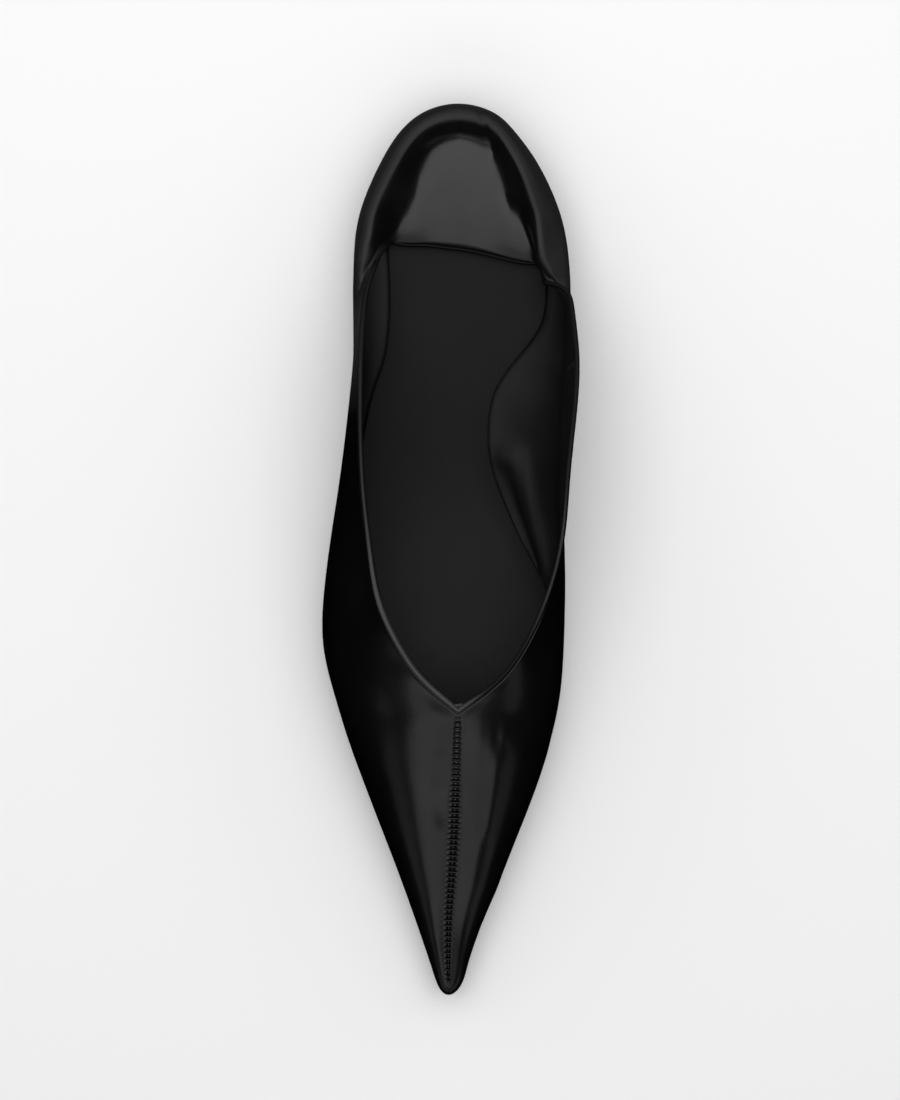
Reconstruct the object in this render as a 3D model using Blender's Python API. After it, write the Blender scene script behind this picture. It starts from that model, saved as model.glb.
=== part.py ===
"""Pointed flat shoe for the right foot, with its back folded down onto the insole.

The toe points along -Y, the inner side of the foot is +X and the floor is Z = 0.
The upper is one skin of leather. It is drawn as ribs that stand round the sole: each rib starts
at the lasting margin under the insole, bulges out past the sole and runs up to the top edge.
In front of the throat the ribs of both sides meet at the centre seam. Round the heel they climb
to a fold, drop inside it and lie down on the insole as a flap.
"""
import math
from collections import namedtuple

import bmesh
import bpy
import numpy as np
from mathutils import Vector

# Driving sizes in metres
LENGTH = 0.280
BALL_WIDTH = 0.0762
THROAT_RISE = 0.032
HEEL = 0.005
OUTSOLE = 0.0028
INSOLE = 0.002
WALL = 0.0014
BINDING = 0.0015
TOE_SPRING = 0.0026
MARGIN = 0.006
FOLD_RADIUS = 0.003
DOME = 0.0016
GAP = 0.0003
FEATHER_INSET = 0.0024
INSOLE_REACH = 0.0023
EDGE_BEVEL = 0.0006
HEEL_INSET = 0.0004

# Places along the shoe, as shares of its length from the back of the heel
HEEL_BREAST = 0.21
SEAT_END = 0.23
TREAD_START = 0.535
TREAD_END = 0.715
HEEL_CENTRE = 0.121
TOE_CENTRE = 0.936

# The ring of ribs: turn is 0 degrees at the back of the heel and 180 at the toe
THROAT_TURN = 111.5
EAR_START, EAR_END = 42.0, 47.0
FOLD_TURN, OPEN_TURN = 51.0, 58.0
EAR_SLANT = 0.7
RIB_SPANS = [(0.0, EAR_START, 11), (EAR_START, 62.0, 10), (62.0, THROAT_TURN, 12)]
VAMP_STEPS = 12
NOSE_FAN = 0.85
LATERAL, MEDIAL = -1, 1

Edge = namedtuple("Edge", "along lateral medial")
Belly = namedtuple("Belly", "along lateral medial")
Top = namedtuple("Top", "turn across along rise")
Fold = namedtuple("Fold", "turn ridge_in ridge_rise foot_in foot_rise")
Crest = namedtuple("Crest", "along across rise")
Crown = namedtuple("Crown", "turn lateral medial")

# The widest line of the wall, seen from above: shares of length and of ball width
OUTLINE = [
    Edge(0.000, 0.031, 0.031),
    Edge(0.010, -0.115, 0.177),
    Edge(0.029, -0.201, 0.257),
    Edge(0.054, -0.265, 0.328),
    Edge(0.092, -0.334, 0.406),
    Edge(0.130, -0.381, 0.458),
    Edge(0.181, -0.400, 0.488),
    Edge(0.232, -0.401, 0.493),
    Edge(0.282, -0.401, 0.487),
    Edge(0.333, -0.418, 0.474),
    Edge(0.384, -0.440, 0.464),
    Edge(0.434, -0.465, 0.462),
    Edge(0.485, -0.494, 0.467),
    Edge(0.535, -0.518, 0.471),
    Edge(0.579, -0.530, 0.470),
    Edge(0.611, -0.524, 0.466),
    Edge(0.662, -0.480, 0.451),
    Edge(0.712, -0.424, 0.413),
    Edge(0.763, -0.356, 0.354),
    Edge(0.839, -0.249, 0.240),
    Edge(0.915, -0.147, 0.135),
    Edge(0.966, -0.083, 0.071),
    Edge(0.991, -0.050, 0.038),
    Edge(1.000, -0.009, -0.009),
]

# The edge of the outsole, narrow under the arch
SOLE_EDGE = [
    Edge(0.014, 0.042, 0.042),
    Edge(0.026, -0.118, 0.188),
    Edge(0.045, -0.186, 0.262),
    Edge(0.079, -0.234, 0.324),
    Edge(0.125, -0.252, 0.370),
    Edge(0.179, -0.248, 0.383),
    Edge(0.218, -0.243, 0.384),
    Edge(0.250, -0.247, 0.358),
    Edge(0.286, -0.266, 0.262),
    Edge(0.321, -0.309, 0.176),
    Edge(0.357, -0.341, 0.148),
    Edge(0.393, -0.367, 0.150),
    Edge(0.434, -0.400, 0.193),
    Edge(0.471, -0.432, 0.252),
    Edge(0.507, -0.459, 0.318),
    Edge(0.536, -0.479, 0.375),
    Edge(0.579, -0.499, 0.428),
    Edge(0.611, -0.494, 0.438),
    Edge(0.662, -0.451, 0.423),
    Edge(0.712, -0.395, 0.384),
    Edge(0.763, -0.327, 0.325),
    Edge(0.839, -0.220, 0.211),
    Edge(0.914, -0.119, 0.108),
    Edge(0.964, -0.058, 0.046),
    Edge(0.9955, -0.009, -0.009),
]

# Height of the widest line above the outsole, as shares of the throat's rise
BELLY = [
    Belly(0.000, 0.220, 0.220),
    Belly(0.130, 0.225, 0.230),
    Belly(0.181, 0.245, 0.270),
    Belly(0.232, 0.255, 0.360),
    Belly(0.282, 0.260, 0.453),
    Belly(0.333, 0.266, 0.530),
    Belly(0.384, 0.278, 0.578),
    Belly(0.434, 0.288, 0.547),
    Belly(0.485, 0.290, 0.420),
    Belly(0.535, 0.288, 0.310),
    Belly(0.611, 0.272, 0.272),
    Belly(0.712, 0.256, 0.256),
    Belly(0.763, 0.235, 0.235),
    Belly(0.839, 0.175, 0.175),
    Belly(0.915, 0.122, 0.122),
    Belly(0.966, 0.106, 0.106),
    Belly(1.000, 0.100, 0.100),
]

# The top edge from the middle of the flap, past the ear of the fold, to the throat.
# A rise is counted from the level at which the leather lies on the insole.
TOP_EDGE = {
    LATERAL: [
        Top(0.0, 0.034, 0.161, 0.038),
        Top(15.0, -0.033, 0.159, 0.037),
        Top(30.0, -0.112, 0.157, 0.035),
        Top(42.0, -0.205, 0.156, 0.036),
        Top(47.0, -0.257, 0.158, 0.066),
        Top(49.0, -0.281, 0.164, 0.116),
        Top(51.0, -0.304, 0.173, 0.181),
        Top(53.0, -0.323, 0.182, 0.250),
        Top(55.0, -0.340, 0.194, 0.319),
        Top(57.5, -0.353, 0.209, 0.403),
        Top(60.0, -0.362, 0.223, 0.488),
        Top(64.0, -0.371, 0.252, 0.650),
        Top(68.0, -0.377, 0.289, 0.822),
        Top(72.0, -0.379, 0.332, 0.961),
        Top(80.0, -0.374, 0.413, 1.075),
        Top(90.0, -0.344, 0.500, 1.134),
        Top(97.0, -0.304, 0.561, 1.125),
        Top(103.0, -0.219, 0.612, 1.084),
        Top(107.0, -0.129, 0.646, 1.047),
        Top(THROAT_TURN, 0.029, 0.683, 1.000),
    ],
    MEDIAL: [
        Top(0.0, 0.034, 0.161, 0.038),
        Top(15.0, 0.098, 0.164, 0.037),
        Top(30.0, 0.190, 0.170, 0.035),
        Top(42.0, 0.310, 0.177, 0.036),
        Top(47.0, 0.357, 0.181, 0.050),
        Top(49.0, 0.370, 0.186, 0.094),
        Top(51.0, 0.379, 0.191, 0.159),
        Top(53.0, 0.392, 0.198, 0.225),
        Top(55.0, 0.420, 0.202, 0.272),
        Top(57.0, 0.451, 0.206, 0.316),
        Top(59.0, 0.479, 0.213, 0.366),
        Top(61.0, 0.496, 0.222, 0.431),
        Top(64.0, 0.509, 0.248, 0.577),
        Top(68.0, 0.520, 0.289, 0.766),
        Top(72.0, 0.514, 0.332, 0.923),
        Top(76.0, 0.498, 0.375, 1.014),
        Top(80.0, 0.484, 0.413, 1.069),
        Top(90.0, 0.453, 0.500, 1.128),
        Top(97.0, 0.391, 0.561, 1.110),
        Top(103.0, 0.302, 0.612, 1.078),
        Top(107.0, 0.206, 0.646, 1.047),
        Top(THROAT_TURN, 0.029, 0.683, 1.000),
    ],
}

# The folded back: how far in from the outline its ridge and the foot of its inner slope stand,
# as shares of ball width, and how high, as shares of the throat's rise
FOLD = {
    LATERAL: [
        Fold(0.0, 0.060, 0.325, 0.128, 0.115),
        Fold(15.0, 0.061, 0.320, 0.142, 0.113),
        Fold(30.0, 0.061, 0.312, 0.166, 0.106),
        Fold(40.0, 0.058, 0.298, 0.158, 0.092),
        Fold(47.0, 0.051, 0.288, 0.130, 0.090),
        Fold(51.0, 0.045, 0.281, 0.120, 0.090),
        Fold(55.0, 0.034, 0.306, 0.110, 0.090),
        Fold(58.0, 0.025, 0.325, 0.100, 0.090),
    ],
    MEDIAL: [
        Fold(0.0, 0.060, 0.325, 0.128, 0.115),
        Fold(15.0, 0.062, 0.320, 0.124, 0.115),
        Fold(30.0, 0.076, 0.308, 0.122, 0.110),
        Fold(40.0, 0.096, 0.294, 0.138, 0.103),
        Fold(47.0, 0.096, 0.284, 0.142, 0.100),
        Fold(51.0, 0.080, 0.268, 0.140, 0.100),
        Fold(55.0, 0.054, 0.262, 0.130, 0.100),
        Fold(58.0, 0.034, 0.300, 0.120, 0.100),
    ],
}

# The crest of the vamp from the throat to the toe
CREST = [
    Crest(0.683, 0.029, 1.000),
    Crest(0.712, 0.026, 0.880),
    Crest(0.763, 0.020, 0.695),
    Crest(0.839, 0.009, 0.430),
    Crest(0.915, -0.008, 0.200),
    Crest(0.960, -0.010, 0.090),
    Crest(0.981, -0.010, 0.045),
]

# How round the wall is above its widest line: 0 is straight, 1 a quarter of an ellipse
CROWN = [
    Crown(50.0, 0.25, 0.15),
    Crown(80.0, 0.30, 0.15),
    Crown(90.0, 0.38, 0.30),
    Crown(97.0, 0.52, 0.50),
    Crown(103.0, 0.75, 0.75),
    Crown(107.0, 0.90, 0.90),
    Crown(THROAT_TURN, 1.00, 1.00),
    Crown(180.0, 1.00, 1.00),
]


class Spline:
    """A natural cubic curve through the (at, value) pairs that it is given."""

    def __init__(self, ats, values):
        self.at = np.array(ats, float)
        self.value = np.array(values, float)
        step = np.diff(self.at)
        rise = np.diff(self.value) / step
        count = len(self.at)
        matrix = np.eye(count)
        right = np.zeros(count)
        for i in range(1, count - 1):
            matrix[i, i - 1:i + 2] = step[i - 1], 2 * (step[i - 1] + step[i]), step[i]
            right[i] = 6 * (rise[i] - rise[i - 1])
        self.bend = np.linalg.solve(matrix, right)

    def __call__(self, at):
        at = min(max(at, self.at[0]), self.at[-1])
        i = min(int(np.searchsorted(self.at, at, side="right")) - 1, len(self.at) - 2)
        step = self.at[i + 1] - self.at[i]
        b = (at - self.at[i]) / step
        a = 1 - b
        cubic = (a ** 3 - a) * self.bend[i] + (b ** 3 - b) * self.bend[i + 1]
        return float(a * self.value[i] + b * self.value[i + 1] + cubic * step ** 2 / 6)


def column(rows, key, value):
    return Spline([getattr(row, key) for row in rows], [getattr(row, value) for row in rows])


class Outline:
    """A closed outline with round ends, held as a centre line and a squared half-width."""

    def __init__(self, rows):
        along = [row.along for row in rows]
        self.start, self.end = along[0], along[-1]
        self.centre = Spline(along, [(row.medial + row.lateral) / 2 for row in rows])
        self.square = Spline(along, [((row.medial - row.lateral) / 2) ** 2 for row in rows])

    def point(self, side, turn):
        along = self.start + (self.end - self.start) * turned(turn)
        half = math.sqrt(max(self.square(along), 0.0))
        return place(self.centre(along) + side * half, along)


def turned(turn):
    return (1 - math.cos(math.radians(turn))) / 2


def place(across, along, height=0.0):
    """A point from its shares across and along, and its height in metres."""
    return Vector((across * BALL_WIDTH, (0.5 - along) * LENGTH, height))


def along_of(point):
    return 0.5 - point.y / LENGTH


def ease(share):
    share = min(max(share, 0.0), 1.0)
    return share * share * (3 - 2 * share)


outline = Outline(OUTLINE)
sole_edge = Outline(SOLE_EDGE)
belly = {LATERAL: column(BELLY, "along", "lateral"), MEDIAL: column(BELLY, "along", "medial")}
crown = {LATERAL: column(CROWN, "turn", "lateral"), MEDIAL: column(CROWN, "turn", "medial")}
top_edge = {
    side: [column(rows, "turn", name) for name in ("across", "along", "rise")]
    for side, rows in TOP_EDGE.items()
}
fold = {
    side: [column(rows, "turn", name) for name in Fold._fields[1:]]
    for side, rows in FOLD.items()
}
crest = [column(CREST, "along", name) for name in ("across", "rise")]


def sole_bottom(along):
    """The underside of the outsole: level at the heel and the tread, sprung at the toe."""
    seat = (HEEL + GAP) * (1 - ease((along - SEAT_END) / (TREAD_START - SEAT_END)))
    spring = max(0.0, (along - TREAD_END) / (1 - TREAD_END))
    return seat + TOE_SPRING * spring ** 1.6


def sole_top(along):
    return sole_bottom(along) + OUTSOLE


def feather(along):
    """The level at which the upper rests on the outsole."""
    return sole_top(along) + GAP


def insole_base(along):
    return feather(along) + WALL + GAP


def insole_top(along):
    return insole_base(along) + INSOLE


def bed(along):
    """The level of the outer face of leather that lies on the insole."""
    return insole_top(along) + GAP + WALL


def spine(point):
    """The nearest point of the line down the middle of the shoe, where the ribs aim."""
    along = min(max(along_of(point), HEEL_CENTRE), TOE_CENTRE)
    return place(sole_edge.centre(along), along, point.z)


def pulled_in(point, distance, limit=1.0):
    """The point moved towards the spine, by no more than the given share of the way."""
    way = spine(point) - point
    return point + way.normalized() * min(distance, limit * way.length)


def at_height(point, height):
    return Vector((point.x, point.y, height))


def sole_point(side, turn, inset, level):
    point = pulled_in(sole_edge.point(side, turn), inset)
    return at_height(point, level(along_of(point)))


def top_point(side, turn):
    """The top edge, which is the centre seam in front of the throat."""
    if turn > THROAT_TURN:
        left = (1 - turned(turn)) / (1 - turned(THROAT_TURN))
        share = 1 - left ** NOSE_FAN
        along = CREST[0].along + share * (CREST[-1].along - CREST[0].along)
        across, rise = (line(along) for line in crest)
    else:
        across, along, rise = (line(turn) for line in top_edge[side])
    return place(across, along, bed(along) + rise * THROAT_RISE)


def bezier(a, b, c, d, share):
    rest = 1 - share
    return a * rest ** 3 + b * 3 * rest ** 2 * share + c * 3 * rest * share ** 2 + d * share ** 3


def open_wall(side, turn, wide, top):
    """Guide points of a wall that ends at its top edge without a fold."""
    up = top.z - wide.z
    way = top - wide
    kappa = 0.5523
    lean = Vector((way.x * kappa, way.y * kappa, 0.0))
    share = crown[side](turn)
    first = wide + Vector((0, 0, kappa * up))
    second = top - lean * share - way * 0.36 * (1 - share)
    return [bezier(wide, first, second, top, at) for at in (0.28, 0.46, 0.62, 0.76, 0.89)]


def folded_wall(side, turn, wide, top):
    """Guide points of the back: up to the ridge, over it, down its slope and along the flap."""
    ridge_in, ridge_rise, foot_in, foot_rise = (line(turn) for line in fold[side])
    inward = spine(wide) - wide
    inward.z = 0
    inward.normalize()
    level = bed(along_of(wide))
    ear = ease((turn - EAR_START) / (EAR_END - EAR_START))
    slant = Vector((0, EAR_SLANT * ear * (top.y - wide.y), 0))
    ridge = wide + inward * ridge_in * BALL_WIDTH + slant
    ridge.z = level + ridge_rise * THROAT_RISE
    foot = at_height(wide + inward * foot_in * BALL_WIDTH, level + foot_rise * THROAT_RISE)
    way = top - ridge
    foot = foot.lerp(ridge + way * 0.66, ear)
    reach = min(0.8 * FOLD_RADIUS, 0.35 * way.length)
    outer = ridge - (inward + Vector((0, 0, 0.5))) * 0.8 * FOLD_RADIUS
    inner = ridge + (inward - Vector((0, 0, 0.5))) * reach
    span = (top - foot).length
    middle = foot.lerp(top, 0.5) + Vector((0, 0, DOME * ease(span / (0.3 * BALL_WIDTH))))
    return [outer, ridge, inner, foot, middle]


def through(before, points, after, steps):
    """Points along a centripetal curve through the guide points."""
    guides = [before, *points, after]
    line = [points[0]]
    for i, count in enumerate(steps):
        a, b, c, d = guides[i:i + 4]
        ab, bc, cd = (math.sqrt(max((q - p).length, 1e-7)) for p, q in ((a, b), (b, c), (c, d)))
        start = (b - a) / ab - (c - a) / (ab + bc) + (c - b) / bc
        finish = (c - b) / bc - (d - b) / (bc + cd) + (d - c) / cd
        for k in range(1, count + 1):
            line.append(bezier(b, b + start * bc / 3, c - finish * bc / 3, c, k / count))
    return line


WALL_STEPS = (2, 1, 2, 2, 2, 2)
BULGE_STEPS = 4


def rib(side, turn):
    """The outer face of the leather from the lasting margin to the top edge."""
    rest = sole_point(side, turn, FEATHER_INSET, feather)
    margin = pulled_in(rest, MARGIN, limit=0.45)
    margin.z = feather(along_of(margin))
    wide = outline.point(side, turn)
    along = along_of(wide)
    wide.z = feather(along) + belly[side](along) * THROAT_RISE
    bulge = []
    for k in range(BULGE_STEPS):
        angle = math.pi / 2 * k / BULGE_STEPS
        out, up = math.sin(angle), 1 - math.cos(angle)
        point = rest.lerp(wide, out)
        bulge.append(at_height(point, rest.z + (wide.z - rest.z) * up))
    top = top_point(side, turn)
    guides = open_wall(side, turn, wide, top)
    if turn < OPEN_TURN:
        folded = folded_wall(side, turn, wide, top)
        opened = ease((turn - FOLD_TURN) / (OPEN_TURN - FOLD_TURN))
        guides = [f.lerp(g, opened) for f, g in zip(folded, guides)]
    below = wide - Vector((0, 0, guides[0].z - wide.z))
    beyond = top * 2 - guides[-1]
    return [margin, *bulge, *through(below, [wide, *guides, top], beyond, WALL_STEPS)]


def ring_turns():
    turns = []
    for start, end, steps in [*RIB_SPANS, (THROAT_TURN, 180.0, VAMP_STEPS)]:
        turns += [start + (end - start) * i / steps for i in range(steps)]
    return [*turns, 180.0]


def ring():
    """Each rib once: from the back of the heel by the outer side to the toe and home again."""
    turns = ring_turns()
    return [(LATERAL, turn) for turn in turns] + [(MEDIAL, turn) for turn in turns[-2:0:-1]]


def material(name, colour, roughness):
    made = bpy.data.materials.new(name)
    made.use_nodes = True
    shader = made.node_tree.nodes["Principled BSDF"]
    shader.inputs["Base Color"].default_value = (*colour, 1.0)
    shader.inputs["Roughness"].default_value = roughness
    shader.inputs["Metallic"].default_value = 0.0
    return made


def mesh_object(name, mesh_data, colour, roughness):
    """A smooth-shaded object from a bmesh, whose faces are turned outward."""
    bmesh.ops.recalc_face_normals(mesh_data, faces=mesh_data.faces)
    mesh = bpy.data.meshes.new(name)
    mesh_data.to_mesh(mesh)
    mesh_data.free()
    mesh.shade_smooth()
    mesh.set_sharp_from_angle(angle=math.radians(35))
    mesh.materials.append(material(name, colour, roughness))
    made = bpy.data.objects.new(name, mesh)
    bpy.context.scene.collection.objects.link(made)
    return made


def bridge(mesh_data, first, second):
    """Quads between two closed rings of vertices."""
    count = len(first)
    for i in range(count):
        j = (i + 1) % count
        mesh_data.faces.new((first[i], first[j], second[j], second[i]))


def cap(mesh_data, loop):
    """Rungs across a closed ring that starts at the heel and has its middle at the toe."""
    count = len(loop)
    half = count // 2
    mesh_data.faces.new((loop[0], loop[1], loop[-1]))
    for i in range(1, half - 1):
        mesh_data.faces.new((loop[i], loop[i + 1], loop[count - i - 1], loop[count - i]))
    mesh_data.faces.new((loop[half - 1], loop[half], loop[half + 1]))


def stacked(name, rings, colour, roughness):
    """A closed solid from rings of points, capped at both ends."""
    mesh_data = bmesh.new()
    loops = [[mesh_data.verts.new(point) for point in points] for points in rings]
    for first, second in zip(loops, loops[1:]):
        bridge(mesh_data, first, second)
    cap(mesh_data, loops[0])
    cap(mesh_data, loops[-1])
    return mesh_object(name, mesh_data, colour, roughness)


def make_upper():
    """The leather skin, thickened inward to its real wall."""
    mesh_data = bmesh.new()
    places = ring()
    ribs = [[mesh_data.verts.new(point) for point in rib(*at)] for at in places]
    toe = places.index((LATERAL, 180.0))
    for i in range(len(places)):
        twin = 2 * toe - i
        if places[i][1] >= THROAT_TURN and twin < i:
            mesh_data.verts.remove(ribs[i][-1])
            ribs[i][-1] = ribs[twin][-1]
    for first, second in zip(ribs, ribs[1:] + ribs[:1]):
        for corners in zip(first, first[1:], second[1:], second):
            mesh_data.faces.new(corners)
    made = mesh_object("upper", mesh_data, (0.012, 0.012, 0.013), 0.28)
    shell = made.modifiers.new("wall", "SOLIDIFY")
    shell.thickness = WALL
    shell.offset = -1
    return made


def top_frames():
    """The top edge from one side of the throat round the heel to the other, with directions."""
    turns = [turn for turn in ring_turns() if turn <= THROAT_TURN]
    places = [(LATERAL, turn) for turn in turns[::-1]] + [(MEDIAL, turn) for turn in turns[1:-1]]
    lines = [rib(*at) for at in places]
    frames = []
    for i, line in enumerate(lines):
        ahead = lines[(i + 1) % len(lines)][-1]
        behind = lines[i - 1][-1]
        run = (ahead - behind).normalized()
        half_turn = (ahead - line[-1]).angle(line[-1] - behind) / 2
        up = line[-1] - line[-2]
        if i == 0:
            up = behind.lerp(ahead, 0.5) - line[-1]
        face = up.cross(run).normalized()
        mitre = 1 / math.cos(half_turn)
        frames.append((line[-1], face, run.cross(face).normalized() * mitre))
    return frames


def make_binding():
    """The narrow bound edge, a bead that runs once round the opening."""
    mesh_data = bmesh.new()
    sides = 8
    loops = []
    for point, face, out in top_frames():
        centre = point + out * (GAP + BINDING / 2) - face * WALL / 2
        loop = []
        for k in range(sides):
            angle = 2 * math.pi * (k + 0.5) / sides
            thick = (WALL / 2 + GAP) * math.cos(angle)
            tall = BINDING / 2 * math.sin(angle)
            loop.append(mesh_data.verts.new(centre + face * thick + out * tall))
        loops.append(loop)
    for first, second in zip(loops, loops[1:] + loops[:1]):
        bridge(mesh_data, first, second)
    return mesh_object("topline_binding", mesh_data, (0.016, 0.016, 0.017), 0.22)


def lining_reach(side, turn, rise):
    """How far out of the rest line the inner face of the wall stands at a height above it."""
    line = rib(side, turn)[1:BULGE_STEPS + 3]
    start = line[0]
    out, up = 0.0, WALL
    for near, far in zip(line, line[1:]):
        run = math.hypot(far.x - near.x, far.y - near.y)
        climb = far.z - near.z
        slope = math.hypot(run, climb)
        middle = near.lerp(far, 0.5) - start
        next_out = math.hypot(middle.x, middle.y) - WALL * climb / slope
        next_up = middle.z + WALL * run / slope
        if next_up > rise:
            return out + (next_out - out) * max(0.0, rise - up) / (next_up - up)
        out, up = next_out, next_up
    return out


def insole_ring(rise, level):
    """The insole's edge at one height, clear of the lining and of a shallow arch."""
    points = []
    for side, turn in ring():
        rest = sole_point(side, turn, FEATHER_INSET, feather)
        out = (rest - spine(rest)).normalized()
        reach = min(lining_reach(side, turn, rise), INSOLE_REACH) - GAP
        point = rest + out * reach
        points.append(at_height(point, level(along_of(point))))
    return points


def filler_ring(level):
    """The thick middle of the insole, which fills the space inside the lasting margin."""
    points = []
    for side, turn in ring():
        margin = pulled_in(sole_point(side, turn, FEATHER_INSET, feather), MARGIN, limit=0.45)
        point = pulled_in(margin, GAP)
        points.append(at_height(point, level(along_of(point))))
    return points


def make_insole():
    rings = [
        insole_ring(WALL + GAP + INSOLE, insole_top),
        insole_ring(WALL + GAP, insole_base),
        filler_ring(insole_base),
        filler_ring(feather),
    ]
    return stacked("insole", rings, (0.022, 0.022, 0.023), 0.55)


def sole_ring(inset, level):
    return [sole_point(side, turn, inset, level) for side, turn in ring()]


def make_outsole():
    rings = [
        sole_ring(0.0, sole_top),
        sole_ring(0.0, lambda along: sole_bottom(along) + EDGE_BEVEL),
        sole_ring(EDGE_BEVEL, sole_bottom),
    ]
    return stacked("outsole", rings, (0.02, 0.018, 0.016), 0.5)


def make_heel():
    """The low heel under the seat of the outsole, cut straight at its breast."""
    span = (HEEL_BREAST - sole_edge.start) / (sole_edge.end - sole_edge.start)
    breast = math.degrees(math.acos(1 - 2 * span))
    steps = 12
    turns = [breast * i / steps for i in range(steps + 1)]
    places = [(LATERAL, turn) for turn in turns[::-1]] + [(MEDIAL, turn) for turn in turns[1:]]
    mesh_data = bmesh.new()
    loops = []
    for height, inset in ((0.0, EDGE_BEVEL), (EDGE_BEVEL, 0.0), (HEEL, 0.0)):
        points = [pulled_in(sole_edge.point(*at), HEEL_INSET + inset) for at in places]
        front = -inset
        for end in (0, -1):
            points[end].y -= front
        loops.append([mesh_data.verts.new(at_height(point, height)) for point in points])
    for first, second in zip(loops, loops[1:]):
        bridge(mesh_data, first, second)
    mesh_data.faces.new(loops[0])
    mesh_data.faces.new(loops[-1])
    return mesh_object("heel", mesh_data, (0.02, 0.018, 0.016), 0.45)


def main():
    for old in list(bpy.data.objects):
        bpy.data.objects.remove(old, do_unlink=True)
    root = bpy.data.objects.new("shoe", None)
    bpy.context.scene.collection.objects.link(root)
    for piece in (make_outsole(), make_heel(), make_insole(), make_upper(), make_binding()):
        piece.parent = root


main()
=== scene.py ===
"""Looks of a pointed flat shoe in black glazed leather, with its back folded down inside.

The frame is metres with the toe along -Y, the inner side of the foot at +X and the floor at Z = 0.
Leather and lining are drawn as ribs that stand round the sole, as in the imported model, but finer.
"""
import math
from collections import namedtuple

import bpy
import numpy as np
from bpy.props import FloatProperty, FloatVectorProperty, PointerProperty
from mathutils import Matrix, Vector, noise
from mathutils.bvhtree import BVHTree


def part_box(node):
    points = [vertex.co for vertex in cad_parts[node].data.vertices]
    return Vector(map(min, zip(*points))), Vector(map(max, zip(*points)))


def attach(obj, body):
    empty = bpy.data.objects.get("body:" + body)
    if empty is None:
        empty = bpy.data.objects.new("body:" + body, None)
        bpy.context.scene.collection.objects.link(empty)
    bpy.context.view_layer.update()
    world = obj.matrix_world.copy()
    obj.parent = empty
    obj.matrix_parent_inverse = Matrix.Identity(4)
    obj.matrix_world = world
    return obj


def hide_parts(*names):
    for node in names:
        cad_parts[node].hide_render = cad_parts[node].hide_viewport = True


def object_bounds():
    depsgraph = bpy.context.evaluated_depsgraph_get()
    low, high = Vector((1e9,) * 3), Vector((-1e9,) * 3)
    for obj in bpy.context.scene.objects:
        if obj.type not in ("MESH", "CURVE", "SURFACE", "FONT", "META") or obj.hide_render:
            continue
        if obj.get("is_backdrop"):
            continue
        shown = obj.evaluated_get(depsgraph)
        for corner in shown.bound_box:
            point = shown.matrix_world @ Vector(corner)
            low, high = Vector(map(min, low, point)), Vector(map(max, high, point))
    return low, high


bl_info = {
    "name": "Pointed flat shoe",
    "version": (1, 0, 0),
    "blender": (4, 5, 0),
    "location": "3D View > Sidebar > Shoe",
    "description": "Dresses the packed pointed flat in leather, lining, seams and sole",
    "category": "Object",
}

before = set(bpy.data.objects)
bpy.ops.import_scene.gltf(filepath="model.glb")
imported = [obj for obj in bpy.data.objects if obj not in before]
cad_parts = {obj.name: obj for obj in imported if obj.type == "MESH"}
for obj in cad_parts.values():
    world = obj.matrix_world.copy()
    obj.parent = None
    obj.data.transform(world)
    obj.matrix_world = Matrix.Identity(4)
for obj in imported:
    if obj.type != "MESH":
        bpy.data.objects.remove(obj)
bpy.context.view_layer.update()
UPPER_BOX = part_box("upper")
HEEL_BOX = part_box("heel")
BODY = "root"
UP = Vector((0, 0, 1))
SHARP = math.radians(40)

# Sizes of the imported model, in metres
LENGTH = round(UPPER_BOX[1].y - UPPER_BOX[0].y, 4)
HEEL = round(HEEL_BOX[1].z - HEEL_BOX[0].z, 4)
BALL_WIDTH = 0.0762
THROAT_RISE = 0.032
OUTSOLE = 0.0028
INSOLE = 0.002
WALL = 0.0014
LAYER_GAP = 0.00005
TOE_SPRING = 0.0026
MARGIN = 0.006
FOLD_RADIUS = 0.003
DOME = 0.0016
GAP = 0.0003
FEATHER_INSET = 0.0024
HEEL_INSET = 0.0004
# Levels above the outsole's underside: where the upper rests, the top of the insole, and the
# outer face of leather that lies on the insole
FEATHER = OUTSOLE + GAP
INSOLE_TOP = FEATHER + WALL + GAP + INSOLE
BED = INSOLE_TOP + GAP + WALL
# How far the insole reaches out under the lining, where the wall leaves room
INSOLE_REACH = 0.0030

# Places along the shoe, as shares of its length from the back of the heel
HEEL_BREAST = 0.21
SEAT_END = 0.23
TREAD_START = 0.535
TREAD_END = 0.715
HEEL_CENTRE = 0.121
TOE_CENTRE = 0.936

# The ring of ribs: turn is 0 degrees at the back of the heel and 180 at the toe
THROAT_TURN = 111.5
EAR_START, EAR_END = 42.0, 47.0
FOLD_TURN, OPEN_TURN = 51.0, 58.0
FRONT_TURN = 90.0
EAR_SLANT = 0.7
NOSE_FAN = 0.85
LATERAL, MEDIAL = -1, 1

Edge = namedtuple("Edge", "along lateral medial")
Top = namedtuple("Top", "turn across along rise")
Fold = namedtuple("Fold", "turn ridge_in ridge_rise foot_in foot_rise")
Crest = namedtuple("Crest", "along across rise")
Crown = namedtuple("Crown", "turn lateral medial")
Crease = namedtuple("Crease", "across along to_across to_along width depth")
Roll = namedtuple("Roll", "turn width height polish")


def table(kind, rows):
    """Rows with named columns: turns in degrees, all else in thousandths of a share or a metre."""
    units = [1 if name == "turn" else 1000 for name in kind._fields]
    return [kind(*(value / unit for value, unit in zip(row, units))) for row in rows]


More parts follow.
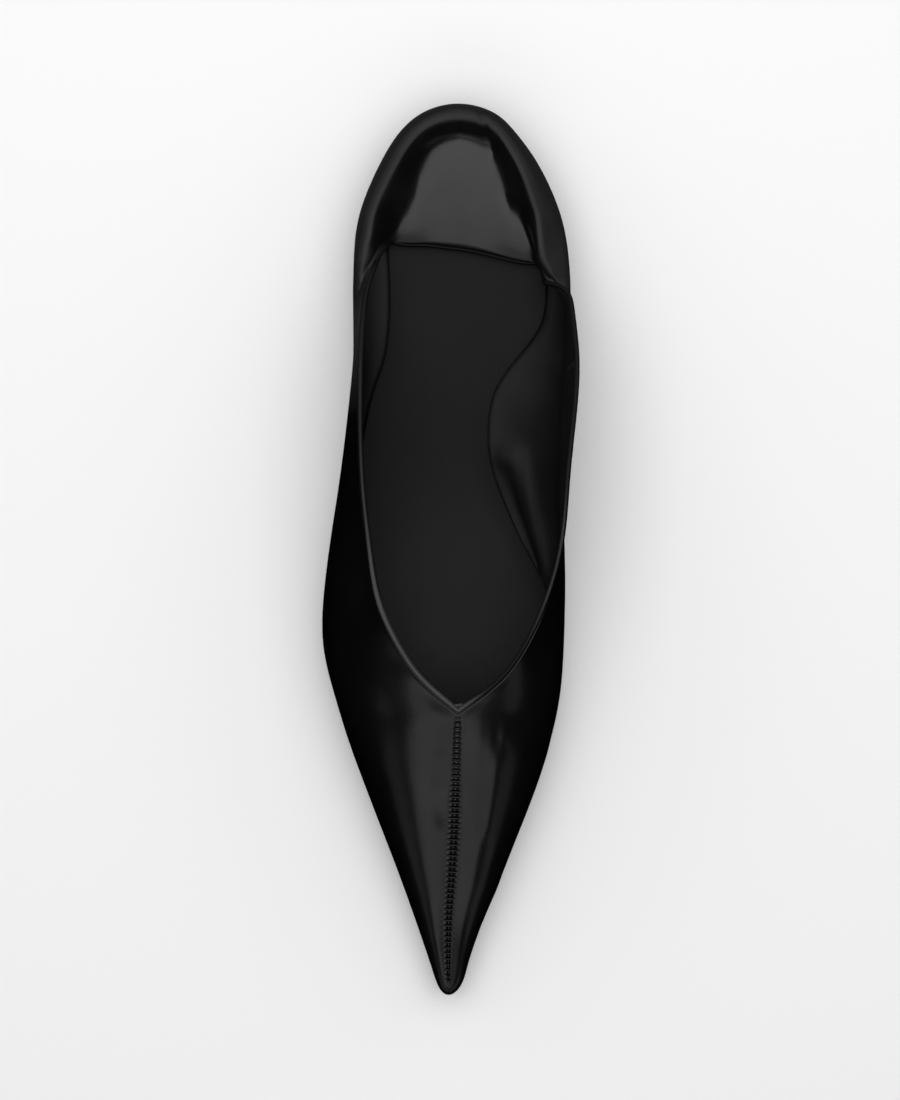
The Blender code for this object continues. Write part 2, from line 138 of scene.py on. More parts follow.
# The widest line of the wall, seen from above: shares of length and of ball width
OUTLINE = table(Edge, [
    (0, 31, 31), (10, -115, 177), (29, -201, 257), (54, -265, 328), (92, -334, 406),
    (130, -381, 458), (181, -400, 488), (232, -401, 493), (282, -401, 487), (333, -418, 474),
    (384, -440, 464), (434, -465, 462), (485, -494, 467), (535, -518, 471), (579, -530, 470),
    (611, -524, 466), (662, -480, 451), (712, -424, 413), (763, -356, 354), (839, -249, 240),
    (915, -147, 135), (966, -83, 71), (991, -50, 38), (1000, -9, -9),
])

# The edge of the outsole, narrow under the arch
SOLE_EDGE = table(Edge, [
    (14, 42, 42), (26, -118, 188), (45, -186, 262), (79, -234, 324), (125, -252, 370),
    (179, -248, 383), (218, -243, 384), (250, -247, 358), (286, -266, 262), (321, -309, 176),
    (357, -341, 148), (393, -367, 150), (434, -400, 193), (471, -432, 252), (507, -459, 318),
    (536, -479, 375), (579, -499, 428), (611, -494, 438), (662, -451, 423), (712, -395, 384),
    (763, -327, 325), (839, -220, 211), (914, -119, 108), (964, -58, 46), (995.5, -9, -9),
])

# Height of the widest line above the outsole, as shares of the throat's rise
BELLY = table(Edge, [
    (0, 220, 220), (130, 225, 230), (181, 245, 270), (232, 255, 360), (282, 260, 453),
    (333, 266, 530), (384, 278, 578), (434, 288, 547), (485, 290, 420), (535, 288, 310),
    (611, 272, 272), (712, 256, 256), (763, 235, 235), (839, 175, 175), (915, 122, 122),
    (966, 106, 106), (1000, 100, 100),
])

# The top edge from the middle of the flap, past the ear of the fold, to the throat.
# A rise is counted from the level at which the leather lies on the insole.
TOP_EDGE = {
    LATERAL: table(Top, [
        (0, 34, 161, 38), (15, -33, 159, 37), (30, -112, 157, 35), (42, -205, 156, 36),
        (47, -257, 158, 66), (49, -281, 164, 116), (51, -304, 173, 181), (53, -323, 182, 250),
        (55, -340, 194, 319), (57.5, -353, 209, 403), (60, -362, 223, 488), (64, -371, 252, 650),
        (68, -377, 289, 822), (72, -379, 332, 961), (80, -374, 413, 1075), (90, -344, 500, 1134),
        (97, -304, 561, 1125), (103, -219, 612, 1084), (107, -129, 646, 1047),
        (THROAT_TURN, 29, 683, 1000),
    ]),
    MEDIAL: table(Top, [
        (0, 34, 161, 38), (15, 98, 164, 37), (30, 190, 170, 35), (42, 310, 177, 36),
        (47, 357, 181, 50), (49, 370, 186, 94), (51, 379, 191, 159), (53, 392, 198, 225),
        (55, 420, 202, 272), (57, 451, 206, 316), (59, 479, 213, 366), (61, 496, 222, 431),
        (64, 509, 248, 577), (68, 520, 289, 766), (72, 514, 332, 923), (76, 498, 375, 1014),
        (80, 484, 413, 1069), (90, 453, 500, 1128), (97, 391, 561, 1110), (103, 302, 612, 1078),
        (107, 206, 646, 1047), (THROAT_TURN, 29, 683, 1000),
    ]),
}

# The folded back: how far in from the outline its ridge and the foot of its inner slope stand,
# as shares of ball width, and how high, as shares of the throat's rise
FOLD = {
    LATERAL: table(Fold, [
        (0, 60, 325, 128, 115), (15, 61, 320, 142, 113), (30, 61, 312, 176, 106),
        (40, 58, 298, 190, 92), (47, 51, 288, 130, 90), (51, 45, 281, 120, 90),
        (55, 34, 306, 110, 90), (58, 25, 325, 100, 90),
    ]),
    MEDIAL: table(Fold, [
        (0, 60, 325, 128, 115), (15, 62, 320, 134, 115), (30, 76, 308, 160, 110),
        (40, 96, 294, 178, 103), (47, 96, 284, 142, 100), (51, 80, 268, 140, 100),
        (55, 54, 262, 130, 100), (58, 34, 300, 120, 100),
    ]),
}

# The crest of the vamp from the throat to the toe
CREST = table(Crest, [
    (683, 29, 1000), (712, 26, 880), (763, 20, 695), (839, 9, 430), (915, -8, 200),
    (960, -10, 90), (981, -10, 45),
])

# How round the wall is above its widest line: 0 is straight, 1 a quarter of an ellipse
CROWN = table(Crown, [
    (50, 250, 150), (80, 300, 150), (90, 320, 300), (97, 340, 360), (103, 460, 500),
    (107, 680, 700), (THROAT_TURN, 930, 940), (116, 1070, 1070), (122, 1140, 1140),
    (130, 1200, 1200), (140, 1230, 1230), (150, 1210, 1210), (165, 1120, 1120), (180, 1000, 1000),
])

# Soft troughs and ridges, as lines seen from above: their ends by ball width and by length, then
# width and depth in millimetres; a ridge has a depth below zero
VAMP_CREASES = table(Crease, [
    (-41, 782, -43, 802, 1.6, 0.22), (-46, 735, -40, 790, 3, 0.28),
    (206, 690, 216, 708, 1.4, -0.35), (186, 712, 205, 692, 1.8, 0.25),
    (190, 735, 150, 815, 1.8, -0.18), (150, 700, 120, 800, 2.2, 0.16),
    (236, 728, 150, 870, 10, -1),
])
BACK_SEAM = table(Crease, [(98, -12, 172, 58, 0.8, 0.45)])
FLAP_CREASES = table(Crease, [
    (160, 30, 200, 70, 2.6, 0.3), (58, 94, 168, 99, 1, 0.2), (85, 80, 85, 113, 1, 0.18),
    (220, 104, 243, 129, 1.3, 0.18), (292, 85, 330, 170, 2.2, 0.25),
])
LINING_CREASES = table(Crease, [(232, 405, 372, 520, 1.7, 3)])
LINING_SWELL = table(Crease, [
    (250, 400, 380, 520, 5, -3.2), (300, 330, 400, 440, 6, -0.6),
])
# Half the length of the centre seam's stitches, in metres, by shares of the seam's length
SEAM_SHARES = [0.0, 0.1, 0.3, 0.45, 0.6, 0.8, 1.0]
SEAM_REACHES = [0.0006, 0.0009, 0.0016, 0.0019, 0.0017, 0.0013, 0.0008]
# Where the first stitch of the centre seam is, in metres from the throat
SEAM_START = 0.0012
# The rolled edge round the opening: half its width and half its height, and how polished it is
ROLLED_EDGE = {
    LATERAL: table(Roll, [
        (42, 0.6, 1, 0), (50, 0.75, 0.85, 50), (60, 0.85, 0.8, 100), (75, 0.85, 0.8, 220),
        (85, 0.95, 0.8, 450), (92, 1.15, 0.8, 850), (97, 1.3, 0.8, 1000),
        (THROAT_TURN, 1.3, 0.85, 1000),
    ]),
    MEDIAL: table(Roll, [
        (42, 0.6, 1, 0), (50, 0.75, 0.85, 0), (82, 0.85, 0.8, 50), (87, 0.85, 0.8, 400),
        (96, 0.85, 0.8, 450), (102, 0.8, 0.8, 50), (108.5, 0.8, 0.8, 0), (110.3, 1.1, 0.85, 850),
        (THROAT_TURN, 1.3, 0.85, 1000),
    ]),
}
# The heel's outline at each height: how far it is in from the sole's edge
HEEL_LEVELS = [
    (0.0, 0.0006), (0.0002, 0.0002), (0.0006, 0.0), (HEEL * 0.44, 0.0), (HEEL * 0.47, 0.00025),
    (HEEL * 0.5, 0.0), (HEEL - 0.0003, 0.0), (HEEL, 0.0003),
]
# The side seam of the inner quarter: where it meets the sole, and its lean towards the heel
SIDE_SEAM = 0.322
SIDE_SEAM_LEAN = 0.25
# Its lap: the height as a share of the groove's depth, and how far back it fades out
LAP_SHARE, LAP_FADE = 0.7, 0.004
# The puff beside the centre seam: its height as a share of the groove's depth, then how far off it
# stands and how wide it is, in half-widths of the groove
PUFF_SHARE, PUFF_AT, PUFF_WIDTH = 0.3, 2.4, 1.1
# Over what distance from the top edge waves, flap creases and the lining's swell grow to the full
WAVE_FADE, CREASE_FADE, SWELL_FADE = 0.004, 0.005, 0.006
# Waves of the leather: size, seed and share
WAVES = ((0.019, 3.1, 1.0), (0.007, 8.4, 0.35))
# The points of a stitch across the seam, and how high they lie, in shares of the thread
STITCH_POINTS = ((-1.0, -0.5), (-0.9, 0.35), (-0.55, 0.35), (0.0, 0.35), (0.55, 0.35), (0.9, 0.35),
                 (1.0, -0.5))
# Where the insole's painted light begins, lightening its colour towards the toe, and over what
# share of the length it grows to the full
PAINTED_LIGHT_FROM, PAINTED_LIGHT_OVER = 0.33, 0.3


class Spline:
    """A natural cubic curve through the (at, value) pairs that it is given."""

    def __init__(self, ats, values):
        self.at = np.array(ats, float)
        self.value = np.array(values, float)
        step = np.diff(self.at)
        rise = np.diff(self.value) / step
        count = len(self.at)
        matrix = np.eye(count)
        right = np.zeros(count)
        for i in range(1, count - 1):
            matrix[i, i - 1:i + 2] = step[i - 1], 2 * (step[i - 1] + step[i]), step[i]
            right[i] = 6 * (rise[i] - rise[i - 1])
        self.bend = np.linalg.solve(matrix, right)

    def __call__(self, at):
        at = min(max(at, self.at[0]), self.at[-1])
        i = min(int(np.searchsorted(self.at, at, side="right")) - 1, len(self.at) - 2)
        step = self.at[i + 1] - self.at[i]
        b = (at - self.at[i]) / step
        a = 1 - b
        cubic = (a ** 3 - a) * self.bend[i] + (b ** 3 - b) * self.bend[i + 1]
        return float(a * self.value[i] + b * self.value[i + 1] + cubic * step ** 2 / 6)


def curves(rows):
    """A curve for each further column of a table, over its first one."""
    ats, *columns = zip(*rows)
    return [Spline(ats, values) for values in columns]


class Outline:
    """A closed outline with round ends, held as a centre line and a squared half-width."""

    def __init__(self, rows):
        along = [row.along for row in rows]
        self.start, self.end = along[0], along[-1]
        self.centre = Spline(along, [(row.medial + row.lateral) / 2 for row in rows])
        self.square = Spline(along, [((row.medial - row.lateral) / 2) ** 2 for row in rows])

    def point(self, side, turn):
        along = self.start + (self.end - self.start) * turned(turn)
        half = math.sqrt(max(self.square(along), 0.0))
        return place(self.centre(along) + side * half, along)


def turned(turn):
    return (1 - math.cos(math.radians(turn))) / 2


def place(across, along, height=0.0):
    """A point from its shares across and along, and its height in metres."""
    return Vector((across * BALL_WIDTH, (0.5 - along) * LENGTH, height))


def along_of(point):
    return 0.5 - point[1] / LENGTH


def ease(share):
    share = min(max(share, 0.0), 1.0)
    return share * share * (3 - 2 * share)


outline = Outline(OUTLINE)
sole_edge = Outline(SOLE_EDGE)
belly = dict(zip((LATERAL, MEDIAL), curves(BELLY)))
crown = dict(zip((LATERAL, MEDIAL), curves(CROWN)))
top_edge = {side: curves(rows) for side, rows in TOP_EDGE.items()}
fold = {side: curves(rows) for side, rows in FOLD.items()}
crest = curves(CREST)


def sole_bottom(along):
    """The underside of the outsole: level at the heel and the tread, sprung at the toe."""
    seat = (HEEL + GAP) * (1 - ease((along - SEAT_END) / (TREAD_START - SEAT_END)))
    spring = max(0.0, (along - TREAD_END) / (1 - TREAD_END))
    return seat + TOE_SPRING * spring ** 1.6


def level(along, above):
    """A height above the underside of the outsole."""
    return sole_bottom(along) + above


def spine(point):
    """The nearest point of the line down the middle of the shoe, where the ribs aim."""
    along = min(max(along_of(point), HEEL_CENTRE), TOE_CENTRE)
    return place(sole_edge.centre(along), along, point.z)


def pulled_in(point, distance, limit=1.0):
    """The point moved towards the spine, by no more than the given share of the way."""
    way = spine(point) - point
    return point + way.normalized() * min(distance, limit * way.length)


def at_height(point, height):
    return Vector((point.x, point.y, height))


def sole_point(side, turn, inset, above):
    point = pulled_in(sole_edge.point(side, turn), inset)
    return at_height(point, level(along_of(point), above))


def top_point(side, turn):
    """The top edge, which is the centre seam in front of the throat."""
    if turn > THROAT_TURN:
        left = (1 - turned(turn)) / (1 - turned(THROAT_TURN))
        share = 1 - left ** NOSE_FAN
        along = CREST[0].along + share * (CREST[-1].along - CREST[0].along)
        across, rise = (line(along) for line in crest)
    else:
        across, along, rise = (line(turn) for line in top_edge[side])
    return place(across, along, level(along, BED) + rise * THROAT_RISE)


# Arms of a curve that draws a quarter of an ellipse, and of one that ends straight, as shares
QUARTER_ARC = 0.5523
STRAIGHT_ARM = 0.36
# Where the guide points of an open wall lie on its curve
GUIDES_AT = (0.28, 0.46, 0.62, 0.76, 0.89)
# The bend over the ridge: how far its side guides stand off it, and how far they drop
RIDGE_REACH = 0.8 * FOLD_RADIUS
RIDGE_DROP = UP * 0.5


def bezier(a, b, c, d, share):
    rest = 1 - share
    return a * rest ** 3 + b * 3 * rest ** 2 * share + c * 3 * rest * share ** 2 + d * share ** 3


def open_wall(side, turn, wide, top):
    """Guide points of a wall that ends at its top edge without a fold."""
    way = top - wide
    lean = Vector((way.x, way.y, 0.0)) * QUARTER_ARC
    share = crown[side](turn)
    first = wide + UP * QUARTER_ARC * way.z
    second = top - lean * share - way * STRAIGHT_ARM * (1 - share)
    return [bezier(wide, first, second, top, at) for at in GUIDES_AT]


def folded_wall(side, turn, wide, top):
    """Guide points of the back: up to the ridge, over it, down its slope and along the flap."""
    ridge_in, ridge_rise, foot_in, foot_rise = (line(turn) for line in fold[side])
    inward = spine(wide) - wide
    inward.z = 0
    inward.normalize()
    base = level(along_of(wide), BED)
    ear = ease((turn - EAR_START) / (EAR_END - EAR_START))
    slant = Vector((0, EAR_SLANT * ear * (top.y - wide.y), 0))
    ridge = wide + inward * ridge_in * BALL_WIDTH + slant
    ridge.z = base + ridge_rise * THROAT_RISE
    foot = at_height(wide + inward * foot_in * BALL_WIDTH, base + foot_rise * THROAT_RISE)
    way = top - ridge
    foot = foot.lerp(ridge + way * 0.66, ear)
    outer = ridge - (inward + RIDGE_DROP) * RIDGE_REACH
    inner = ridge + (inward - RIDGE_DROP) * min(RIDGE_REACH, 0.35 * way.length)
    doming = ease((top - foot).length / (0.3 * BALL_WIDTH))
    middle = foot.lerp(top, 0.5) + UP * DOME * doming
    return [outer, ridge, inner, foot, middle]


def through(before, points, after, steps):
    """Points along a centripetal curve through the guide points."""
    guides = [before, *points, after]
    line = [points[0]]
    for i, count in enumerate(steps):
        a, b, c, d = guides[i:i + 4]
        ab, bc, cd = (math.sqrt(max((q - p).length, 1e-7)) for p, q in ((a, b), (b, c), (c, d)))
        start = (b - a) / ab - (c - a) / (ab + bc) + (c - b) / bc
        finish = (c - b) / bc - (d - b) / (bc + cd) + (d - c) / cd
        for k in range(1, count + 1):
            line.append(bezier(b, b + start * bc / 3, c - finish * bc / 3, c, k / count))
    return line


# How finely the ribs are drawn
MARGIN_STEPS = 2
BULGE_STEPS = 12
WALL_STEPS = (10, 7, 9, 9, 9, 12)
RIB_SPANS = [
    (0.0, 36.0, 34), (36.0, 62.0, 52), (62.0, 66.5, 7), (66.5, 71.5, 20),
    (71.5, THROAT_TURN, 44), (THROAT_TURN, 180.0, 62),
]


def rib(side, turn):
    """The outer face of the leather from the lasting margin to the top edge."""
    rest = sole_point(side, turn, FEATHER_INSET, FEATHER)
    margin = pulled_in(rest, MARGIN, limit=0.45)
    margin.z = level(along_of(margin), FEATHER)
    wide = outline.point(side, turn)
    along = along_of(wide)
    wide.z = level(along, FEATHER) + belly[side](along) * THROAT_RISE
    line = [margin.lerp(rest, k / MARGIN_STEPS) for k in range(MARGIN_STEPS)]
    for k in range(BULGE_STEPS):
        angle = math.pi / 2 * k / BULGE_STEPS
        out, up = math.sin(angle), 1 - math.cos(angle)
        line.append(at_height(rest.lerp(wide, out), rest.z + (wide.z - rest.z) * up))
    top = top_point(side, turn)
    guides = open_wall(side, turn, wide, top)
    if turn < OPEN_TURN:
        folded = folded_wall(side, turn, wide, top)
        opened = ease((turn - FOLD_TURN) / (OPEN_TURN - FOLD_TURN))
        guides = [f.lerp(g, opened) for f, g in zip(folded, guides)]
    below = wide - UP * (guides[0].z - wide.z)
    beyond = top * 2 - guides[-1]
    return line + through(below, [wide, *guides, top], beyond, WALL_STEPS)


def ring():
    """Each rib once: from the back of the heel by the outer side to the toe and home again."""
    turns = [start + (end - start) * i / steps
             for start, end, steps in RIB_SPANS for i in range(steps)] + [180.0]
    return [(LATERAL, turn) for turn in turns] + [(MEDIAL, turn) for turn in turns[-2:0:-1]]


PLACES = ring()
THROAT_RIB = PLACES.index((LATERAL, THROAT_TURN))
TOE_RIB = PLACES.index((LATERAL, 180.0))
TURN = np.array([turn for side, turn in PLACES])[:, None]
IS_MEDIAL = np.array([side == MEDIAL for side, turn in PLACES])[:, None]
# Rows of a rib: its widest line, the fold's ridge and the foot of the fold's inner slope
WIDE_ROW = MARGIN_STEPS + BULGE_STEPS
RIDGE_ROW = WIDE_ROW + sum(WALL_STEPS[:2])
FOOT_ROW = RIDGE_ROW + sum(WALL_STEPS[2:4])
ROW = np.arange(WIDE_ROW + sum(WALL_STEPS) + 1)[None, :]
# How far the valley at the foot of that slope is eased: passes over the ribs, and from which row
VALLEY_PASSES = 50
VALLEY_ROW = RIDGE_ROW + 4


def grid_normals(grid):
    """Unit normals of a grid of ribs, pointing out of the shoe."""
    run = np.roll(grid, -1, axis=0) - np.roll(grid, 1, axis=0)
    climb = np.gradient(grid, axis=1)
    normal = np.cross(run, climb)
    return normal / np.maximum(np.linalg.norm(normal, axis=2, keepdims=True), 1e-12)


def from_top(grid):
    """How far each point of a rib is from its top edge, along the leather."""
    steps = np.linalg.norm(np.diff(grid, axis=1), axis=2)
    left = np.cumsum(steps[:, ::-1], axis=1)[:, ::-1]
    return np.concatenate([left, np.zeros((len(grid), 1))], axis=1)


def crease_depth(points, creases):
    """The depth that the listed creases give at points, by their distance seen from above."""
    depth = np.zeros(points.shape[:-1])
    for crease in creases:
        start = np.array(place(crease.across, crease.along))[:2]
        way = np.array(place(crease.to_across, crease.to_along))[:2] - start
        share = np.clip(((points[..., :2] - start) @ way) / (way @ way), 0, 1)
        gap = np.linalg.norm(points[..., :2] - start - share[..., None] * way, axis=-1)
        depth += crease.depth * np.exp(-(gap / crease.width) ** 2)
    return depth


def ripple(points, size, seed):
    """Gentle unevenness of hand-pulled leather, between -1 and 1, over patches of one size."""
    offset = Vector((seed, seed * 0.7, -seed))
    flat = points.reshape(-1, 3)
    values = [noise.noise(Vector(point) / size + offset) for point in flat]
    return np.array(values).reshape(points.shape[:-1])


def leather_grid():
    """The outer face of the leather with its creases, and each point's distance from the top."""
    shape = bpy.context.scene.shoe_shape
    grid = np.array([[tuple(point) for point in rib(*at)] for at in PLACES])
    # The easing is least at the back of the heel and fades out at the ear
    share = np.clip(np.minimum((EAR_END - TURN) / 6, 0.25 + TURN / 30), 0, 1)[..., None] / 4
    for _ in range(VALLEY_PASSES):
        before, middle, after = (
            grid[:, VALLEY_ROW + k:grid.shape[1] - 2 + k] for k in range(3))
        middle += (before - 2 * middle + after) * share
    left = from_top(grid)

    # The centre seam's groove with a puff beside it, and the inner quarter's lapped side seam
    across = left / shape.seam_width
    puff = np.exp(-((across - PUFF_AT) / PUFF_WIDTH) ** 2)
    groove = np.exp(-across ** 2) - PUFF_SHARE * puff
    lean = (grid[..., 2] - grid[:, :1, 2]) * SIDE_SEAM_LEAN
    behind = (SIDE_SEAM - along_of(np.moveaxis(grid, 2, 0))) * LENGTH - lean
    lap = np.where(behind > 0, np.exp(-behind / LAP_FADE), 0) * LAP_SHARE
    side_seam = np.exp(-(behind / shape.seam_width) ** 2) - lap
    wall = ROW > WIDE_ROW
    quarter = wall * IS_MEDIAL * (TURN > OPEN_TURN) * (TURN < FRONT_TURN)
    sink = ((TURN > THROAT_TURN) * groove + quarter * side_seam) * shape.seam_depth

    back = wall * (TURN < EAR_END)
    inside = np.clip((ROW - RIDGE_ROW) / (FOOT_ROW - RIDGE_ROW), 0, 1)
    inside = back * inside * np.minimum(1, left / CREASE_FADE)
    front = wall * (TURN > FRONT_TURN)
    for share, creases in (
            (back, BACK_SEAM), (inside, FLAP_CREASES), (front, VAMP_CREASES)):
        sink += share * crease_depth(grid, creases)
    waves = sum(share * ripple(grid, size, seed) for size, seed, share in WAVES)
    sink += wall * np.minimum(1, left / WAVE_FADE) * shape.unevenness * waves
    return grid - grid_normals(grid) * sink[..., None], left


def mesh_of(name, points, faces):
    mesh = bpy.data.meshes.new(name)
    mesh.from_pydata(points, [], faces)
    mesh.shade_smooth()
    return mesh


def store(mesh, label, values):
    """Puts a named value on each point of a mesh, for its material."""
    layer = mesh.attributes.new(label, "FLOAT", "POINT")
    layer.data.foreach_set("value", np.array(values, np.float32).reshape(-1))


def grid_mesh(name, grid, values):
    """A mesh from a grid of ribs, welded along the vamp's crest, with values on its points."""
    count, rows = grid.shape[:2]
    index = np.arange(count * rows).reshape(count, rows)
    for i in range(TOE_RIB + 1, count):
        twin = 2 * TOE_RIB - i
        if PLACES[i][1] >= THROAT_TURN:
            index[i, -1] = index[twin, -1]
            grid[twin, -1] = (grid[twin, -1] + grid[i, -1]) / 2
    ahead = np.roll(index, -1, axis=0)
    quads = np.stack([index[:, :-1], index[:, 1:], ahead[:, 1:], ahead[:, :-1]], axis=-1)
    used, quads = np.unique(quads.reshape(-1, 4)[:, ::-1], return_inverse=True)
    mesh = mesh_of(name, grid.reshape(-1, 3)[used].tolist(), quads.reshape(-1, 4).tolist())
    for label, value in values.items():
        store(mesh, label, value.reshape(-1)[used])
    return mesh


def add_piece(name, mesh, material, node=None):
    """Links a finished mesh as a piece of the shoe, hangs it on the body and hides the imported
    part it stands for.
    """
    mesh.materials.clear()
    mesh.materials.append(material)
    piece = bpy.data.objects.new(name, mesh)
    bpy.context.scene.collection.objects.link(piece)
    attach(piece, BODY)
    if node:
        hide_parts(node)
    return piece


def thicken(piece, thickness):
    wall = piece.modifiers.new("thickness", "SOLIDIFY")
    wall.thickness = thickness
    wall.offset = -1


def bridge(count, rings, base=0):
    """Quads between rings of points that follow each other in one list."""
    starts = [base + k * count for k in range(rings - 1)]
    return [(a + i, a + (i + 1) % count, a + count + (i + 1) % count, a + count + i)
            for a in starts for i in range(count)]


def loop_mesh(name, loops, capped=()):
    """A mesh from closed loops of points, bridged in order, with a fan of rungs on some ends."""
    count = len(loops[0])
    faces = bridge(count, len(loops))
    for k in capped:
        base = (k % len(loops)) * count
        half = count // 2
        rungs = [(base, base + 1, base + count - 1)]
        for i in range(1, half - 1):
            rungs.append((base + i, base + i + 1, base + count - i - 1, base + count - i))
        rungs.append((base + half - 1, base + half, base + half + 1))
        faces += rungs if k else [rung[::-1] for rung in rungs]
    return mesh_of(name, [tuple(point) for loop in loops for point in loop], faces)


def operation(name, reflected=False):
    """A method of Value that adds a Math node on two values."""
    def method(self, other):
        return self.math(name, *((other, self) if reflected else (self, other)))
    return method


class Value:
    """A shader value that takes part in Python expressions, each of which adds a Math node."""

    def __init__(self, paint, socket):
        self.paint = paint
        self.socket = socket

    def math(self, name, *values):
        return self.paint.node("Math", {"operation": name}, dict(enumerate(values)))[0]

    __add__, __radd__ = operation("ADD"), operation("ADD", True)
    __sub__, __rsub__ = operation("SUBTRACT"), operation("SUBTRACT", True)
    __mul__, __rmul__ = operation("MULTIPLY"), operation("MULTIPLY", True)
    __truediv__, __pow__ = operation("DIVIDE"), operation("POWER")

    def sine(self):
        return self.math("SINE", self)

    def exponent(self):
        return self.math("EXPONENT", self)


class Paint:
    """A material and its nodes. Constants stay on the shader's own sockets."""

    def __init__(self, name, **constants):
        self.material = bpy.data.materials.new(name)
        self.material.use_nodes = True
        self.tree = self.material.node_tree
        self.shader = self.tree.nodes["Principled BSDF"]
        for label, value in constants.items():
            self.shader.inputs[label.replace("_", " ")].default_value = value

    def node(self, kind, settings=None, inputs=None):
        """Adds a node of a type, with its settings first and then its sockets' values or links."""
        made = self.tree.nodes.new("ShaderNode" + kind)
        for label, value in (settings or {}).items():
            setattr(made, label, value)
        for label, value in (inputs or {}).items():
            socket = made.inputs[label]
            if isinstance(value, Value):
                self.tree.links.new(value.socket, socket)
            else:
                socket.default_value = value
        return [Value(self, socket) for socket in made.outputs]

    def attribute(self, name):
        return self.node("Attribute", {"attribute_name": name})[2]

    def position(self):
        return self.node("TexCoord")[3]

    def noise(self, scale, detail=3.0, roughness=0.5):
        inputs = {
            "Vector": self.position(), "Scale": scale, "Detail": detail, "Roughness": roughness}
        return self.node("TexNoise", None, inputs)[0]

    def cells(self, scale):
        inputs = {"Vector": self.position(), "Scale": scale}
        return self.node("TexVoronoi", {"feature": "F1"}, inputs)[0]

    def spread(self, value, low, high, start=0.0, end=1.0):
        """A value from low..high taken to start..end, without going past either."""
        inputs = {"Value": value, "From Min": low, "From Max": high, "To Min": start, "To Max": end}
        return self.node("MapRange", {"clamp": True}, inputs)[0]

    def blend(self, factor, first, second):
        """A colour between two colours."""
        settings = {"data_type": "RGBA", "clamp_factor": True}
        return self.node("Mix", settings, {0: factor, 6: first, 7: second})[2]

    def mottled(self, cloud, colour, dark, light, edge=0.3):
        """A colour that wanders between a darker and a lighter share of itself."""
        factor = self.spread(cloud, edge, 1 - edge)
        return self.blend(factor, shade(colour, dark), shade(colour, light))

    def finished(self, colour, cloud, smooth, rough, *bumps):
        """The material with its colour, a roughness that follows a cloud, and its bumps."""
        self.feed("Base Color", colour)
        self.feed("Roughness", self.spread(cloud, 0.3, 0.7, smooth, rough))
        self.bump(*bumps)
        return self.material

    def feed(self, label, value):
        self.tree.links.new(value.socket, self.shader.inputs[label])

    def bump(self, *layers):
        """Chains bumps of (height, distance in metres, strength) and feeds the normal."""
        normal = None
        for height, distance, strength in layers:
            inputs = {"Height": height, "Distance": distance, "Strength": strength}
            if normal:
                inputs["Normal"] = normal
            normal = self.node("Bump", None, inputs)[0]
        self.feed("Normal", normal)


def shade(colour, share):
    return (colour[0] * share, colour[1] * share, colour[2] * share, 1.0)


def glazed_leather(look):
    """Black calf with a polished glaze: fine pores, faint pull wrinkles and a soft gloss."""
    paint = Paint("glazed_leather", Coat_Roughness=0.2)
    pores = paint.node("TexVoronoi", {"feature": "SMOOTH_F1"}, {
        "Vector": paint.position(), "Scale": 1500.0, "Smoothness": 0.6})[0]
    pull = paint.noise(70.0)
    worn = paint.attribute("worn")
    near = ((paint.attribute("seam_side") / paint.attribute("seam_reach")) ** 2.0 * -1.0).exponent()
    phase = (paint.attribute("seam_run") - SEAM_START) * (2 * math.pi / look.stitch_pitch)
    tick = (phase - math.pi / 2).sine() * near
    paint.feed("Base Color", paint.mottled(paint.noise(25.0, 2.0), look.leather, 0.8, 1.25, 0.35))
    gloss = paint.spread(pull, 0.3, 0.7, look.gloss - 0.03, look.gloss + 0.05)
    paint.feed("Roughness", gloss + worn * 0.22)
    paint.feed("Coat Weight", 0.4 - worn * 0.38)
    paint.bump((pull, 0.0004, 0.12), (pores, 0.00006, 0.25), (tick, 0.00022, 0.9))
    return paint.material


def rolled_edge(look):
    """The turned edge of the opening, polished where the attribute says so."""
    paint = Paint("rolled_edge", Coat_Roughness=0.22, Specular_IOR_Level=0.17)
    cloud = paint.noise(60.0, 2.0)
    polish = paint.attribute("polish")
    paint.feed("Base Color", paint.mottled(cloud, look.leather, 0.9, 1.5, 0.35))
    paint.feed("Roughness", paint.spread(cloud, 0.3, 0.7, 0.5, 0.6) - polish * 0.2)
    paint.feed("Coat Weight", polish)
    paint.bump((paint.noise(420.0, 2.0), 0.00012, 0.25))
    return paint.material


def soft_lining(look):
    """Matte black kid that lines the shoe, with painted shade in the deep of its fold and along its
    outer side.
    """
    paint = Paint("soft_lining", Specular_IOR_Level=0.2)
    cloud = paint.noise(60.0)
    tone = paint.mottled(cloud, look.lining, 0.85, 1.2)
    # Painted shade: where the attribute deep is high, the colour goes towards a twentieth of itself
    tone = paint.blend(paint.attribute("deep"), tone, shade(look.lining, 0.05))
    return paint.finished(
        tone, cloud, 0.42, 0.52, (cloud, 0.0003, 0.1), (paint.cells(1100.0), 0.00007, 0.3))


def insole_leather(look):
    """The covered insole: matte with an even grain, with painted shade at its edge and painted
    light towards the toe.
    """
    paint = Paint("insole_cover", Specular_IOR_Level=0.14)
    cloud = paint.noise(40.0, 4.0)
    # Painted shade: the colour darkens to 0.88 of itself within 7 mm of the insole's edge, beside
    # the wall
    middle = paint.spread(paint.attribute("from_edge"), 0.0, 0.007)
    tone = paint.mottled(cloud, look.insole, 0.96, 1.12)
    # Painted light: the colour is lightened towards the toe, where the throat shades the insole
    painted_light = paint.blend(paint.attribute("forward"), tone, shade(look.insole, 2.4))
    return paint.finished(
        paint.blend(middle, shade(look.insole, 0.88), painted_light), cloud, 0.5, 0.6,
        (cloud, 0.0003, 0.15), (paint.cells(900.0), 0.00008, 0.35))


